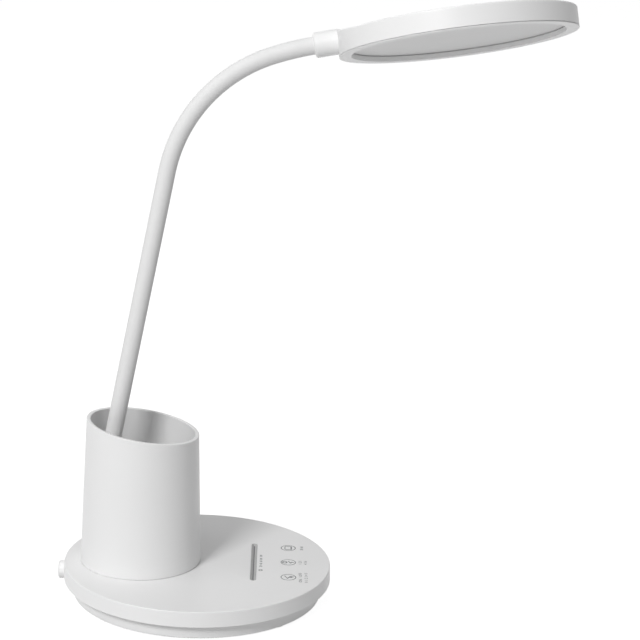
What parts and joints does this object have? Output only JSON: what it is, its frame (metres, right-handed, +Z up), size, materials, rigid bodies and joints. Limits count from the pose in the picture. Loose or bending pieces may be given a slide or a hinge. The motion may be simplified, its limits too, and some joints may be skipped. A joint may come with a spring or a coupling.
{
  "type": "desk lamp with pen cup",
  "caption": "Desk lamp with a flat round LED head on a flexible gooseneck, an open pen cup and touch controls on a round weighted base.",
  "frame": {"origin": "centre of the lower cover's flat underside; the rubber feet stand below it", "axes": "+Z up, +X from the neck towards the head, +Y to the left of someone who faces the head from behind the lamp"},
  "size_m": [0.3453, 0.1908, 0.4322],
  "materials": {
    "white_abs": "satin white moulded plastic",
    "white_metal": "white painted die-cast zinc",
    "white_silicone": "matt white silicone",
    "black_rubber": "matt black rubber",
    "zinc_steel": "zinc plated steel",
    "green_board": "solder mask on glass laminate",
    "black_plastic": "matt black plastic",
    "grey_foam": "conductive foam",
    "opal_plastic": "opal light diffuser",
    "clear_plastic": "clear light guide",
    "white_film": "white reflector film",
    "yellow_lamp": "phosphor",
    "red_wire": "black insulated lead"
  },
  "bodies": {
    "base": {"base_top_cover": "white_abs", "base_lower_cover": "white_abs", "rubber_feet": "black_rubber", "counterweight": "zinc_steel", "base_screws": "zinc_steel", "control_board": "green_board", "board_screws": "zinc_steel", "board_chips": "black_plastic", "touch_pads": "grey_foam", "slider_light_bar": "clear_plastic", "power_inlet": "white_abs", "inlet_pin": "zinc_steel", "base_lead": "red_wire", "pen_cup": "white_abs", "cup_screws": "zinc_steel", "neck_collar": "white_metal", "neck_washer": "zinc_steel", "neck_nut": "zinc_steel", "neck_section_1": "white_silicone"},
    "neck_2": {"neck_section_2": "white_silicone"},
    "neck_3": {"neck_section_3": "white_silicone"},
    "neck_4": {"neck_section_4": "white_silicone"},
    "neck_5": {"neck_section_5": "white_silicone"},
    "neck_6": {"neck_section_6": "white_silicone"},
    "neck_7": {"neck_section_7": "white_silicone"},
    "neck_8": {"neck_section_8": "white_silicone"},
    "head": {"neck_section_9": "white_silicone", "head_sleeve": "white_abs", "neck_ferrule": "zinc_steel", "ferrule_nut": "zinc_steel", "head_top_cover": "white_abs", "head_bezel": "white_abs", "diffuser": "opal_plastic", "light_guide": "clear_plastic", "reflector_sheet": "white_film", "led_strip": "green_board", "led_chips": "yellow_lamp", "head_plug": "black_plastic", "head_lead": "red_wire"}
  },
  "joints": [
    {"name": "neck_bend_1", "type": "hinge", "parent": "base", "child": "neck_2", "pos_m": [-0.06703, 0, 0.07378], "axis": [0, 1, 0], "range_deg": [-6, 10]},
    {"name": "neck_sway_1", "type": "hinge", "parent": "neck_2", "child": "neck_3", "pos_m": [-0.05995, 0, 0.12327], "axis": [0.9839, 0, -0.1788], "range_deg": [-15, 15]},
    {"name": "neck_bend_2", "type": "hinge", "parent": "neck_3", "child": "neck_4", "pos_m": [-0.05101, 0, 0.17249], "axis": [0, 1, 0], "range_deg": [-15, 15]},
    {"name": "neck_sway_2", "type": "hinge", "parent": "neck_4", "child": "neck_5", "pos_m": [-0.04206, 0, 0.22171], "axis": [0.9839, 0, -0.1788], "range_deg": [-15, 15]},
    {"name": "neck_bend_3", "type": "hinge", "parent": "neck_5", "child": "neck_6", "pos_m": [-0.03312, 0, 0.27094], "axis": [0, 1, 0], "range_deg": [-15, 15]},
    {"name": "neck_bend_4", "type": "hinge", "parent": "neck_6", "child": "neck_7", "pos_m": [-0.02262, 0, 0.31978], "axis": [0, 1, 0], "range_deg": [-18, 18]},
    {"name": "neck_sway_3", "type": "hinge", "parent": "neck_7", "child": "neck_8", "pos_m": [0.00487, 0, 0.36103], "axis": [0.68, 0, -0.7332], "range_deg": [-20, 20]},
    {"name": "neck_bend_5", "type": "hinge", "parent": "neck_8", "child": "head", "pos_m": [0.04803, 0, 0.38544], "axis": [0, 1, 0], "range_deg": [-20, 20]}
  ]
}
